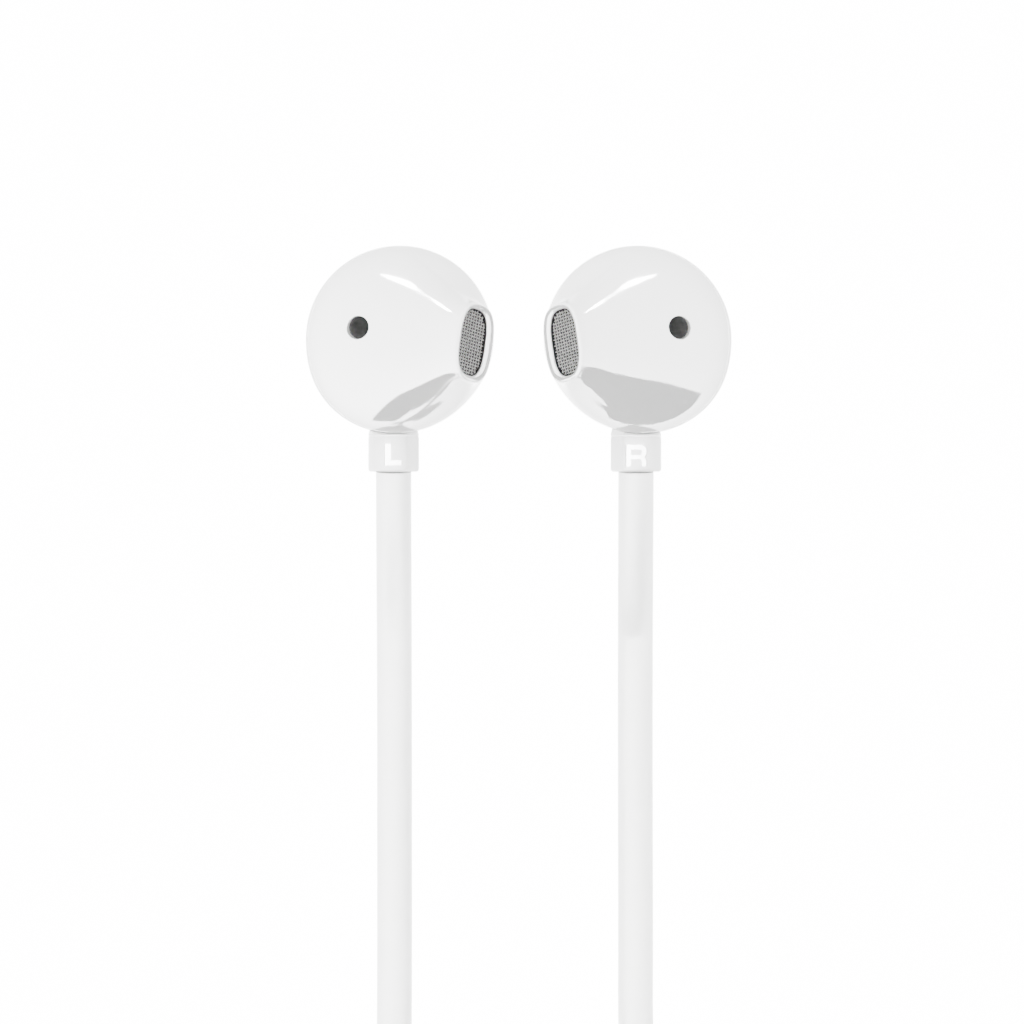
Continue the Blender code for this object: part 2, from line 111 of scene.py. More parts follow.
def add_card(name, outline, facing, material, seen=False):
    """A flat studio card with the given corners; it is there for light and reflections only."""
    middle = sum(outline, Vector()) / len(outline)
    turn = (facing - middle).to_track_quat("Z", "Y")
    mesh = bpy.data.meshes.new(name)
    flat = [turn.inverted() @ (corner - middle) for corner in outline]
    mesh.from_pydata([(p.x * MM, p.y * MM, p.z * MM) for p in flat], [], [list(range(len(flat)))])
    mesh.materials.append(material)
    card = link(bpy.data.objects.new(name, mesh))
    card.location = middle * MM
    card.rotation_mode = "QUATERNION"
    card.rotation_quaternion = turn
    card.visible_camera = seen
    card.visible_diffuse = seen
    card.visible_shadow = False
    return card


def add_sky():
    """An even white all round, a little softer towards the right."""
    world = bpy.data.worlds.new("studio_sky")
    world.use_nodes = True
    tree = world.node_tree
    tree.nodes.clear()
    split = add_node(tree, "SeparateXYZ", {0: add_node(tree, "TexCoord").outputs["Generated"]})
    side = add_node(tree, "MapRange", {0: split.outputs["X"], 1: -1.0, 2: 1.0,
                                       3: SKY_LIGHT * (1 + SIDE_SHARE), 4: SKY_LIGHT * (1 - SIDE_SHARE)})
    back = add_node(tree, "Background", {"Color": (1, 1, 1, 1), "Strength": side.outputs[0]})
    add_node(tree, "OutputWorld", {"Surface": back.outputs[0]})
    bpy.context.scene.world = world


def add_dome():
    """The soft boxes that only the white skins mirror: bright overhead, fading below the horizon."""
    skin = bmesh.new()
    bmesh.ops.create_icosphere(skin, subdivisions=4, radius=DOME_R * MM)
    mesh = bpy.data.meshes.new("softbox_dome")
    skin.to_mesh(mesh)
    skin.free()
    mesh.shade_smooth()
    glow = glowing("softbox_glow", 1.0, clear=True)
    tree = glow.node_tree
    split = add_node(tree, "SeparateXYZ", {0: add_node(tree, "TexCoord").outputs["Object"]})
    reach = DOME_R * MM
    height = add_node(tree, "MapRange", {0: split.outputs["Z"], 1: -reach, 2: GLOSS_FULL_AT * reach,
                                         3: GLOSS_LOW, 4: GLOSS_HIGH}, interpolation_type="SMOOTHSTEP")
    total = height.outputs[0]
    for axis, share in (("X", BOX_SIDE_SHARE), ("Y", FAR_SHARE)):
        fade = add_node(tree, "MapRange", {0: split.outputs[axis], 1: -reach, 2: reach, 3: 1 + share,
                                           4: 1 - share})
        total = add_node(tree, "Math", {0: total, 1: fade.outputs[0]}, operation="MULTIPLY").outputs[0]
    tree.links.new(total, tree.nodes["Emission"].inputs["Strength"])
    mesh.materials.append(glow)
    dome = link(bpy.data.objects.new("softbox_dome", mesh))
    only_in_gloss(dome, white_skins)


def only_in_gloss(light, pieces):
    """Let a studio light show in the gloss of some pieces and nowhere else."""
    light.visible_camera = False
    light.visible_diffuse = False
    light.visible_shadow = False
    light.light_linking.receiver_collection = pieces


white_skins = bpy.data.collections.new("white_skins")
bud_skins = {ear: bpy.data.collections.new(f"bud_skins_{ear}") for ear in "lr"}
add_camera()
FLOOR_HALF = 3000
floor = add_card("studio_floor", [Vector((sx * FLOOR_HALF, sy * FLOOR_HALF, 0))
                                  for sx, sy in ((-1, -1), (1, -1), (1, 1), (-1, 1))],
                 Vector((0, 0, 100)), glowing("floor_glow", FLOOR_GLOW, FLOOR_PAINT), seen=True)
floor.visible_diffuse = False
floor.visible_glossy = False
add_sky()
add_dome()

# A thin bowed strip light above each bud draws the streak along the nozzle's crown; a grey flag
# below each bud leaves a clean-edged shade on the lower face. Points are (x, z) at one distance.
STRIP_Y, FLAG_Y = 92.0, 38.0
STRIP_FROM, STRIP_TO = Vector((-21.6, 23.2)), Vector((-12.8, 22.2))
STRIP_BOW, STRIP_HALF, STRIP_STEPS = 1.6, 1.15, 16
FLAG = {"l": ((-22, 10), (-23, 28), (-20, 30), (-11, 21), (-3, 10), (-7, 12.5), (-11, 14), (-14, 10)),
        "r": ((3, 4), (3, 9), (10, 30), (41, 54), (50, 54), (52, 22), (36, 13), (9, 5))}


def strip_edge(edge):
    """One long edge of the strip, thin at both ends: edge is 1 above its middle line, -1 below."""
    points = []
    for k in range(STRIP_STEPS + 1):
        t = k / STRIP_STEPS
        middle = STRIP_FROM.lerp(STRIP_TO, t)
        half = 0.05 + STRIP_HALF * math.sin(math.pi * t) ** 0.7
        points.append((middle.x, middle.y + 4 * STRIP_BOW * t * (1 - t) + edge * half))
    return points


strip_outline = strip_edge(1) + strip_edge(-1)[::-1]
strip_white = glowing("strip_light", STRIP_GLOW, clear=True)
flag_grey = glowing("grey_flag", 0.0)
for ear, way in (("l", 1), ("r", -1)):
    strip = add_card(f"strip_{ear}", [Vector((way * x, STRIP_Y, z)) for x, z in strip_outline],
                     Vector((0, 0, 20)), strip_white)
    only_in_gloss(strip, bud_skins[ear])
    add_card(f"flag_{ear}", [Vector((x, FLAG_Y, z)) for x, z in FLAG[ear]], Vector((0, 100, 20)), flag_grey)


# ---------------------------------------------------------------- leads and neck lead
# Round silicone-covered cable, 3.4 mm thick, matt and soft to the eye. One continuous run: left
# bud, battery pod, round the neck, control pod, right bud. All of it past the first 55 mm is
# folded into a flat hank, three runs each side of the two pods.

LEAD_D = 3.4
HANK_Y = -49.85
FLOOR_Z = LEAD_D / 2 + 0.01
OVER_Z = FLOOR_Z + LEAD_D
SLOT = (14.6, 18.1, 21.6)
FOLD_Y = 27.0
POD_X = {"battery": 5.9, "control": -5.8}
BOOT_TIP_Y = 26.0
BOOT_Z = 3.0
TIE_LIFT = 1.1
TIE_REACH = 13.0
RELAX_ROUNDS = 6
POINT_SPACING = 1.2
COLLAR_END = -12.63


def srgb(code):
    """The linear colour of an sRGB hex code."""
    parts = [int(code[i:i + 2], 16) / 255 for i in (0, 2, 4)]
    return (*(p / 12.92 if p <= 0.04045 else ((p + 0.055) / 1.055) ** 2.4 for p in parts), 1.0)


def finished(name, colours, mottle, roughness, grain, height, relief=None, even=()):
    """A material of two tones that drift over patches, a gloss that follows the grain, and the
    grain as relief. Mottle, grain and height are in mm. A relief of its own, such as a weave,
    takes the place of the moulded grain; even holds the sockets that don't vary."""
    made = bpy.data.materials.new(name)
    made.use_nodes = True
    tree = made.node_tree
    shader = tree.nodes["Principled BSDF"]
    place = add_node(tree, "TexCoord").outputs["Object"]
    patches = add_node(tree, "TexNoise", {"Vector": place, "Scale": 1 / (mottle * MM), "Detail": 4.0})
    specks = add_node(tree, "TexNoise", {"Vector": place, "Scale": 1 / (grain * MM), "Detail": 3.0})
    specks = specks.outputs[0]
    # With a relief of its own, the relief's height steers seven tenths of the colour: painted shade laid
    # along its form, such as darker gaps and pits; for the solder mask's tracks it is their own lighter
    # colour instead.
    share = 0.3 if relief else 1.0
    tone = add_node(tree, "MapRange", {0: patches.outputs[0], 1: 0.3, 2: 0.7, 4: share}).outputs[0]
    surface = specks
    if relief:
        surface = relief(tree, place)
        tone = add_node(tree, "Math", {0: surface, 1: 1 - share, 2: tone}, operation="MULTIPLY_ADD")
        tone = tone.outputs[0]
    tint = add_node(tree, "Mix", {0: tone, 6: srgb(colours[0]), 7: srgb(colours[1])}, data_type="RGBA")
    gloss = add_node(tree, "MapRange", {0: specks, 1: 0.3, 2: 0.7, 3: roughness[0], 4: roughness[1]})
    bump = add_node(tree, "Bump", {"Height": surface, "Distance": height * MM})
    tree.links.new(tint.outputs[2], shader.inputs["Base Color"])
    tree.links.new(gloss.outputs[0], shader.inputs["Roughness"])
    tree.links.new(bump.outputs[0], shader.inputs["Normal"])
    for socket, value in dict(even).items():
        shader.inputs[socket].default_value = value
    return made


def ease(t):
    """0 to 1 with a soft start and end."""
    t = min(max(t, 0.0), 1.0)
    return t * t * (3 - 2 * t)


def run_points(x, start, end):
    """One straight run of the hank, riding over the lower half of its tie at y = 0."""
    steps = 12
    points = []
    for k in range(steps + 1):
        y = start + (end - start) * k / steps
        lift = TIE_LIFT * ease(1 - (abs(y) - 4) / (TIE_REACH - 4))
        points.append(Vector((x, y, FLOOR_Z + lift)))
    return points


def height_at(heights, share):
    """The height part of the way round a fold."""
    for (a, low), (b, high) in zip(heights, heights[1:]):
        if share <= b:
            return low + (high - low) * ease((share - a) / (b - a))
    return heights[-1][1]


def fold_points(x_from, x_to, way, heights):
    """A half-turn from one slot to another; heights are (share of the turn, z) pairs."""
    centre, radius = (x_from + x_to) / 2, abs(x_to - x_from) / 2
    start = 0.0 if x_from > x_to else math.pi
    turn_way = 1 if x_from > x_to else -1
    points = []
    steps = 22
    for k in range(steps + 1):
        share = k / steps
        angle = start + turn_way * math.pi * share
        reach = FOLD_Y + radius * abs(math.sin(angle))
        points.append(Vector((centre + radius * math.cos(angle), way * reach, height_at(heights, share))))
    return points


def join(*stretches):
    """One route from several stretches, without points that fall on each other."""
    points = []
    for stretch in stretches:
        points += [p for p in stretch if not points or (p - points[-1]).length > 0.3]
    return points


def route_length(points):
    return sum((q - p).length for p, q in zip(points, points[1:]))


def smooth_curve(points, spacing):
    """Evenly spaced points on a Catmull-Rom curve through the given ones."""
    ends = [points[0] * 2 - points[1]] + points + [points[-1] * 2 - points[-2]]
    fine = []
    for a, b, c, d in zip(ends, ends[1:], ends[2:], ends[3:]):
        for k in range(16):
            t = k / 16
            fine.append((b * 2 + (c - a) * t + (a * 2 - b * 5 + c * 4 - d) * t * t
                         + (b * 3 - a - c * 3 + d) * t ** 3) / 2)
    fine.append(points[-1])
    length = route_length(fine)
    count = max(2, round(length / spacing))
    spaced, walked, target = [fine[0]], 0.0, length / count
    for p, q in zip(fine, fine[1:]):
        step = (q - p).length
        while step > 0 and walked + step >= target and len(spaced) < count:
            spaced.append(p.lerp(q, (target - walked) / step))
            target += length / count
        walked += step
    return spaced + [fine[-1]]


def relaxed(points, rounds):
    """Evens out the bends a little, as the cable's stiffness does; the ends stay."""
    for _ in range(rounds):
        inner = [(a + b * 2 + c) / 4 for a, b, c in zip(points, points[1:], points[2:])]
        points = [points[0]] + inner + [points[-1]]
    return points


def add_tube(name, points, radius, material):
    """A round cable along a line, as a curve of one open spline."""
    curve = bpy.data.curves.new(name, "CURVE")
    curve.dimensions = "3D"
    curve.bevel_depth = radius * MM
    curve.bevel_resolution = 8
    curve.use_fill_caps = True
    spline = curve.splines.new("POLY")
    spline.points.add(len(points) - 1)
    for slot, point in zip(spline.points, points):
        slot.co = (*(point * MM), 1.0)
    spline.use_smooth = True
    curve.materials.append(material)
    return link(bpy.data.objects.new(name, curve))


def in_hank(points):
    """Move points drawn about the hank's middle to where the hank lies."""
    return [p + Vector((0, HANK_Y, 0)) for p in points]


# Silicone rubber, extruded: a dry matt skin with a faint talc bloom and shallow draw marks.
white_silicone = finished("extruded_white_silicone", ("F6F6F5", "EFEFEE"), 5.0, (0.42, 0.56), 0.35, 0.006,
                          even={"IOR": 1.47})
a, b, c = SLOT
low, high, boot = FLOOR_Z, OVER_Z, BOOT_Z
lead_start = BUD_Y + COLLAR_END
way_out = ((lead_start, 6.0), (49, 5.35), (42, 3.9), (34, 2.4), (27, 1.75), (18, 1.71), (9, 1.71),
           (-1.7, 1.71))
left_out, right_out = ([Vector((x, y, z)) for x, (y, z) in zip(across, way_out)] for across in (
    [-12.0] * 7 + [-12.05], (11.26, 11.26, 11.26, 11.27, 11.28, 11.3, 11.32, 11.34)))
left_in = in_hank([Vector(p) for p in ((-12.3, 43.5, low), (-13.2, 37.5, low), (-14.2, 31.5, low))])
right_in = in_hank([Vector(p) for p in ((11.9, 46.8, low), (14.2, 41.5, low), (17.6, 35.5, low),
                                        (20.4, 30, low))])
left_route = join(left_out, left_in, in_hank(
    run_points(-a, 26, -FOLD_Y) + fold_points(-a, POD_X["battery"], -1, ((0, low), (0.72, low), (1, boot)))))
left_route.append(Vector((POD_X["battery"], HANK_Y - BOOT_TIP_Y, boot)))
neck_route = in_hank(join(
    [Vector((POD_X["battery"], BOOT_TIP_Y, boot))],
    fold_points(POD_X["battery"], -b, 1, ((0, boot), (0.24, low), (0.41, low), (0.69, high), (0.8, high),
                                          (1, low))),
    run_points(-b, FOLD_Y, -FOLD_Y), fold_points(-b, a, -1, ((0, low), (1, low))),
    run_points(a, -FOLD_Y, FOLD_Y),
    fold_points(a, -c, 1, ((0, low), (0.42, low), (0.62, high), (0.72, high), (0.95, low))),
    run_points(-c, FOLD_Y, -FOLD_Y), fold_points(-c, b, -1, ((0, low), (1, low))),
    run_points(b, -FOLD_Y, FOLD_Y - 5),
    fold_points(b, POD_X["control"], 1, ((0, low + 1.2), (0.24, high), (0.72, high), (1, boot))),
    [Vector((POD_X["control"], BOOT_TIP_Y, boot))]))
right_route = join([Vector((POD_X["control"], HANK_Y - BOOT_TIP_Y, boot))], in_hank(
    fold_points(POD_X["control"], c, -1, ((0, boot), (0.3, high), (0.74, high), (1, low + 0.4)))
    + run_points(c, -FOLD_Y + 5, 25)), list(reversed(right_in)), list(reversed(right_out)))


for name, route, ear in (("ear_lead_left", left_route, "l"),
                         ("ear_lead_right", list(reversed(right_route)), "r"),
                         ("neck_lead", neck_route, None)):   # last, to wait for its ties
    line = relaxed(smooth_curve(route, POINT_SPACING), RELAX_ROUNDS)
    lead = add_tube(name, line, LEAD_D / 2, white_silicone)
    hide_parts(*([f"ear_lead_{ear}"] if ear else ["lead_hank"]))
    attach(lead, "headset")
    white_skins.objects.link(lead)


# ---------------------------------------------------------------- bud shells
# Each bud is two injection-moulded shells of white ABS from a mirror-polished tool. The rear
# bowl has a tongue that plugs into the front shell, and the two are welded along the fine seam.
# The front shell runs up into the nozzle, and carries the round vent.

BUD_X = 11.38
BUD_SIDE = {"l": 1, "r": -1}
HEAD_R = 9.0
HEAD_DRIFT = 0.45
WALL = 0.85
BOWL_DEPTH = SEAM_Z
BOWL_ROUNDNESS = 2.2
NOZZLE_TILT = math.radians(48.0)
NOZZLE_LEAN = math.radians(12.0)
MOUTH = Vector((7.2, -0.4, 5.15))
MOUTH_HALF = (1.8, 3.2)
LIP_HALF = (2.6, 3.8)
LIP_SHIFT = 0.2
LIP_ROUND = 0.32
MOUTH_POWER = 2.8
SEAM_T = 0.08
SEAM_LINE = 0.006
TONGUE_T = 0.15
TONGUE_FIT = (0.46, 0.5)
VENT = Vector((-4.0, 1.05, 3.46))
VENT_R = 1.11
VENT_TILT = math.radians(25.0)
WHITE_SLOTS = ("gloss_shell", "satin_case", "white_silicone", "soft_key")
HEAD_SIDES = 240
HEAD_ANGLES = [2 * math.pi * k / HEAD_SIDES for k in range(HEAD_SIDES)]
SHARP_FROM = math.radians(40.0)

# ABS, polished: a hard, clear gloss over white with the slight waviness of a moulded skin.
polished_abs = finished("polished_white_abs", ("F7F7F6", "F3F3F3"), 6.0, (0.05, 0.09), 3.5, 0.004,
                        even={"IOR": 1.53})


def make_mesh(name, skin, materials):
    """Turn a finished bmesh, drawn in millimetres, into a mesh."""
    bmesh.ops.scale(skin, vec=(MM, MM, MM), verts=skin.verts)
    bmesh.ops.recalc_face_normals(skin, faces=skin.faces)
    mesh = bpy.data.meshes.new(name)
    skin.to_mesh(mesh)
    skin.free()
    mesh.shade_smooth()
    mesh.set_sharp_from_angle(angle=SHARP_FROM)
    for material in materials:
        mesh.materials.append(material)
    return mesh


def place_piece(name, mesh, slot, body="headset", node=None, at=(0, 0, 0)):
    """Put a mesh where it belongs, and let it ride on its body and stand for its CAD node."""
    piece = link(bpy.data.objects.new(name, mesh))
    piece.location = Vector(at) * MM
    if node:
        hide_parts(node)
    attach(piece, body)
    if slot in WHITE_SLOTS:
        white_skins.objects.link(piece)
    return piece


def cover(skin, rows, ring_shaped=False):
    """Faces over a stack of equal loops: capped at both ends, or joined last to first."""
    pairs = list(zip(rows, rows[1:]))
    if ring_shaped:
        pairs.append((rows[-1], rows[0]))
    else:
        skin.faces.new(rows[0])
        skin.faces.new(rows[-1])
    count = len(rows[0])
    for lower, upper in pairs:
        for i in range(count):
            j = (i + 1) % count
            skin.faces.new((lower[i], lower[j], upper[j], upper[i]))


def loft(rings, ring_shaped=False):
    """A skin over a stack of equal loops."""
    skin = bmesh.new()
    cover(skin, [[skin.verts.new(point) for point in ring] for ring in rings], ring_shaped)
    return skin


def turned(profile, sides):
    """A body turned about Z from (radius, height) pairs."""
    turns = [2 * math.pi * i / sides for i in range(sides)]
    return loft([[Vector((radius * math.cos(turn), radius * math.sin(turn), height)) for turn in turns]
                 for radius, height in profile])


def cut(piece, skins, keep_finish=None):
    """Cut helper bodies out of a piece's mesh; the cut faces can take a finish of their own."""
    for skin in skins:
        shape = make_mesh("cutter", skin, [keep_finish or piece.data.materials[0]])
        cutter = link(bpy.data.objects.new("cutter", shape))
        cutter.location = piece.location
        boolean = piece.modifiers.new("cut", "BOOLEAN")
        boolean.operation = "DIFFERENCE"
        boolean.solver = "EXACT"
        boolean.material_mode = "TRANSFER"
        boolean.object = cutter
        bpy.context.view_layer.update()
        shaped = bpy.data.meshes.new_from_object(piece.evaluated_get(bpy.context.evaluated_depsgraph_get()))
        piece.modifiers.clear()
        piece.data = shaped
        bpy.data.objects.remove(cutter)
    piece.data.shade_smooth()
    piece.data.set_sharp_from_angle(angle=SHARP_FROM)


def drift(y):
    """Sideways lean of the head below its axis."""
    return -HEAD_DRIFT * ease(-y / HEAD_R)


def head_outline(radius, angle):
    """The head's widest outline, seen from the front."""
    y = radius * math.sin(angle)
    return Vector((radius * math.cos(angle) + drift(y), y, 0))


def nozzle_axes():
    """The nozzle's axis, and the two axes of its oblong mouth."""
    axis = Vector((math.sin(NOZZLE_TILT), 0, math.cos(NOZZLE_TILT)))
    across = Vector((math.cos(NOZZLE_TILT), 0, -math.sin(NOZZLE_TILT)))
    along = Vector((0, 1, 0))
    cos_lean, sin_lean = math.cos(NOZZLE_LEAN), math.sin(NOZZLE_LEAN)
    return axis, across * cos_lean - along * sin_lean, along * cos_lean + across * sin_lean


NOZZLE_AXIS, MOUTH_ACROSS, MOUTH_ALONG = nozzle_axes()


def oblong(angle, half, shift, depth):
    """A point on the mouth's superellipse, at a depth behind the lip."""
    power = 2 / MOUTH_POWER
    c, s = math.cos(angle), math.sin(angle)
    u = half[0] * math.copysign(abs(c) ** power, c) + shift
    v = half[1] * math.copysign(abs(s) ** power, s)
    return MOUTH + MOUTH_ACROSS * u + MOUTH_ALONG * v - NOZZLE_AXIS * depth


def face_point(angle, t, inside=False):
    """The front shell: a Bezier from the head's rim (t = 0) to where the nozzle's lip rounds over (t = 1)."""
    away = (1 - math.cos(angle)) / 2          # 0 under the nozzle, 1 on the far side
    rise = 1.5 + 1.5 * away
    reach = 1.0 + 1.5 * away
    radius, half, shift = HEAD_R, LIP_HALF, LIP_SHIFT
    if inside:
        rise -= 0.3 + 0.3 * away
        radius, half, shift = HEAD_R - WALL, MOUTH_HALF, 0
    rim = head_outline(radius, angle)
    points = (rim, rim + Vector((0, 0, rise)), oblong(angle, half, shift, reach),
              oblong(angle, half, shift, LIP_ROUND))
    weights = ((1 - t) ** 3, 3 * t * (1 - t) ** 2, 3 * t * t * (1 - t), t ** 3)
    total = Vector()
    for point, weight in zip(points, weights):
        total += point * weight
    return total


def wall_ring(t, share):
    """A loop within the front wall's thickness: share 0 is the outer skin, 1 the inner one."""
    return [face_point(a, t).lerp(face_point(a, t, inside=True), share) for a in HEAD_ANGLES]


def spread(start, end, steps):
    """Evenly spaced values, both ends included."""
    return [start + (end - start) * k / steps for k in range(steps + 1)]


def lip_rings():
    """The nozzle's rounded lip, from its outside over the top and into the mouth."""
    rings = []
    for turn in spread(0, math.pi, 12)[1:-1]:
        ring = []
        for a in HEAD_ANGLES:
            outer = oblong(a, LIP_HALF, LIP_SHIFT, LIP_ROUND)
            inner = oblong(a, MOUTH_HALF, 0, LIP_ROUND)
            over = NOZZLE_AXIS * LIP_ROUND * math.sin(turn)
            ring.append((outer + inner) / 2 + (outer - inner) / 2 * math.cos(turn) + over)
        rings.append(ring)
    return rings


def bowl_rings(radius, depth):
    """Loops from just below the widest section down to the bowl's small flat."""
    power = 2 / BOWL_ROUNDNESS
    rings = []
    for turn in spread(math.radians(2), math.radians(88), 43):
        size, z = math.cos(turn) ** power, -depth * math.sin(turn) ** power
        rings.append([head_outline(radius, a) * size + Vector((0, 0, z)) for a in HEAD_ANGLES])
    return rings


def mirrored(skin, side):
    """The right bud is the left one seen in a mirror."""
    bmesh.ops.scale(skin, vec=(side, 1, 1), verts=skin.verts)
    return skin


def front_skin(side):
    """The front shell as one closed ring of loops: outside, lip, bore and the rebate at the seam."""
    start = SEAM_T + SEAM_LINE
    rings = [wall_ring(start, 0.14), wall_ring(start + 0.001, 0.05)]
    rings += [wall_ring(t, 0) for t in spread(start + 0.005, 1, 84)]
    rings += lip_rings()
    rings += [wall_ring(t, 1) for t in reversed(spread(TONGUE_T + 0.01, 1, 30))]
    rings += [wall_ring(TONGUE_T + 0.01, TONGUE_FIT[0]), wall_ring(start, TONGUE_FIT[0])]
    return mirrored(loft(rings, ring_shaped=True), side)


def rear_skin(side):
    """The bowl: outside, the tongue that enters the front shell, and the inside."""
    rings = list(reversed(bowl_rings(HEAD_R, BOWL_DEPTH)))
    rings += [wall_ring(t, 0) for t in spread(0, SEAM_T - 0.004, 5)]
    rings += [wall_ring(SEAM_T - 0.001, 0.05), wall_ring(SEAM_T, 0.14), wall_ring(SEAM_T, TONGUE_FIT[1])]
    rings += [wall_ring(TONGUE_T, TONGUE_FIT[1] + 0.03), wall_ring(TONGUE_T, 1)]
    rings += [wall_ring(t, 1) for t in reversed(spread(0, SEAM_T, 3))]
    rings += bowl_rings(HEAD_R - WALL, BOWL_DEPTH - WALL)
    return mirrored(loft(rings), side)


def on_vent(skin, side):
    """Turn a body drawn about Z so that it stands on the vent, square to the face."""
    bmesh.ops.rotate(skin, matrix=Matrix.Rotation(-VENT_TILT, 3, "Y"), verts=skin.verts)
    bmesh.ops.translate(skin, vec=VENT, verts=skin.verts)
    return mirrored(skin, side)


def moved(skin, x, y, z):
    """Shift a body and hand it on."""
    bmesh.ops.translate(skin, vec=(x, y, z), verts=skin.verts)
    return skin


def laid(skin, axis):
    """Give a body a quarter turn about an axis and hand it on."""
    bmesh.ops.rotate(skin, matrix=Matrix.Rotation(math.pi / 2, 3, axis), verts=skin.verts)
    return skin


def along_lead(skin, x):
    """Turn a body drawn about Z so that it points down the lead, -Y."""
    return moved(laid(skin, "X"), x, 0, LEAD_AXIS_Z)


LEAD_AXIS_Z = -1.5
LEAD_X = {"l": -0.62, "r": -0.12}
ANCHOR_HOLE_R = 1.4
vent_hole = ((VENT_R, -2.2), (VENT_R, -0.16), (VENT_R + 0.02, -0.08), (VENT_R + 0.07, 0.0),
             (VENT_R + 0.16, 0.07), (VENT_R + 0.16, 2.0))
for ear, side in BUD_SIDE.items():
    bud_at = (-side * BUD_X, BUD_Y, SEAM_Z)
    front = place_piece(f"bud_front_{ear}", make_mesh("bud_front", front_skin(side), [polished_abs]),
                        "gloss_shell", node=f"front_shell_{ear}", at=bud_at)
    cut(front, [on_vent(turned(vent_hole, 64), side)])
    rear = place_piece(f"bud_rear_{ear}", make_mesh("bud_rear", rear_skin(side), [polished_abs]),
                       "gloss_shell", node=f"rear_shell_{ear}", at=bud_at)
    cut(rear, [along_lead(turned(((ANCHOR_HOLE_R, 7.0), (ANCHOR_HOLE_R, 9.6)), 32), LEAD_X[ear])])
    bud_skins[ear].objects.link(front)
    bud_skins[ear].objects.link(rear)


# ---------------------------------------------------------------- nozzle grilles, dampers and vents
# Behind each nozzle's lip sits a square of plain-woven stainless wire, pressed into a black foam
# cup that damps the sound; its black liner rises up the bore past the wire as painted shade, the dark
# ring of the recess's shadow. The vent is closed by a glued disc of dark nylon.

WIRE_D = 0.125
WEAVE_ACROSS, WEAVE_ALONG = 0.365, 0.292
GRILLE_DEPTH = 0.52
GRILLE_HALF = (1.74, 3.13)
# The liner's top (first depth) stands above the wire, so its black shows round the grille as painted shade;
# the second depth is the cup's back.
SHADE_LINER_DEPTH = (0.3, 1.15)
CUP_INNER = (1.7, 3.1)
FOAM_DEPTH = 0.8
VENT_CLOTH_DEPTH = 0.5

# Drawn stainless wire: bright, with fine draw lines that break up the glints.
drawn_stainless = finished("drawn_stainless_wire", ("E8E8E6", "CECECC"), 0.5, (0.2, 0.4), 0.05, 0.002,
                           even={"Metallic": 1.0})


def cells(tree, place, size):
    """Open cells of a foam: round pits between thin struts."""
    return add_node(tree, "TexVoronoi", {"Vector": place, "Scale": 1 / (size * MM)}).outputs["Distance"]


# Polyurethane foam, reticulated and dyed black, its pits painted darker as shade.
black_foam = finished("reticulated_black_foam", ("0B0B0B", "1C1C1C"), 1.0, (0.85, 0.98), 0.1, 0.08,
                      relief=lambda tree, place: cells(tree, place, 0.22))


def weave(tree, place, pitch, turn):
    """A plain weave: two sets of round threads, a pitch apart, seen as one height."""
    bent = add_node(tree, "VectorRotate", {"Vector": place, "Angle": turn}, rotation_type="Y_AXIS")
    sets = [add_node(tree, "TexWave", {"Vector": bent.outputs[0], "Scale": math.pi / 10 / (pitch * MM)},
                     bands_direction=way).outputs["Fac"] for way in ("X", "Y")]
    return add_node(tree, "Math", {0: sets[0], 1: sets[1]}, operation="MULTIPLY").outputs[0]


# Nylon monofilament cloth, dyed dark grey: a dull sheen, its weave drawn at twice the real pitch, with
# painted shade in the gaps between threads.
vent_cloth = {side: finished(f"woven_nylon_{ear}", ("1E1E1E", "4C4C4C"), 0.6, (0.6, 0.8), 0.08, 0.02,
                             relief=lambda tree, place, turn=side * VENT_TILT: weave(tree, place, 0.12, turn),
                             even={"Specular IOR Level": 0.2})
              for ear, side in BUD_SIDE.items()}


def wire_point(u, v, over):
    """A point of the grille's cloth: across and along the mouth, and how far over its middle plane."""
    return MOUTH + MOUTH_ACROSS * u + MOUTH_ALONG * v - NOZZLE_AXIS * (GRILLE_DEPTH - over)


def wire_paths():
    """Both sets of wires, each riding over and under the other, cut off at the mouth's outline."""
    paths = []
    for across_set in (False, True):
        pitch, other = (WEAVE_ALONG, WEAVE_ACROSS) if across_set else (WEAVE_ACROSS, WEAVE_ALONG)
        half, reach = (GRILLE_HALF[1], GRILLE_HALF[0]) if across_set else GRILLE_HALF
        count = int(half / pitch)
        for n in range(-count, count + 1):
            end = reach * (1 - (abs(n) * pitch / half) ** MOUTH_POWER) ** (1 / MOUTH_POWER)
            steps = max(2, round(2 * end / other * 5))
            path = []
            for s in spread(-end, end, steps):
                over = WIRE_D / 2 * math.cos(math.pi * s / other + math.pi * n)
                u, v, lift = (s, n * pitch, -over) if across_set else (n * pitch, s, over)
                path.append(wire_point(u, v, lift))
            paths.append(path)
    return paths


def wires(paths, radius, sides):
    """Round wires along the given paths, all in one skin."""
    skin = bmesh.new()
    for path in paths:
        rows = []
        for before, point, after in zip(path[:1] + path, path, path[1:] + path[-1:]):
            way = (after - before).normalized()
            side_way = way.cross(NOZZLE_AXIS).normalized()
            up = side_way.cross(way)
            rows.append([skin.verts.new(point + (side_way * math.cos(t) + up * math.sin(t)) * radius)
                         for t in (2 * math.pi * k / sides for k in range(sides))])
        cover(skin, rows)
    return skin


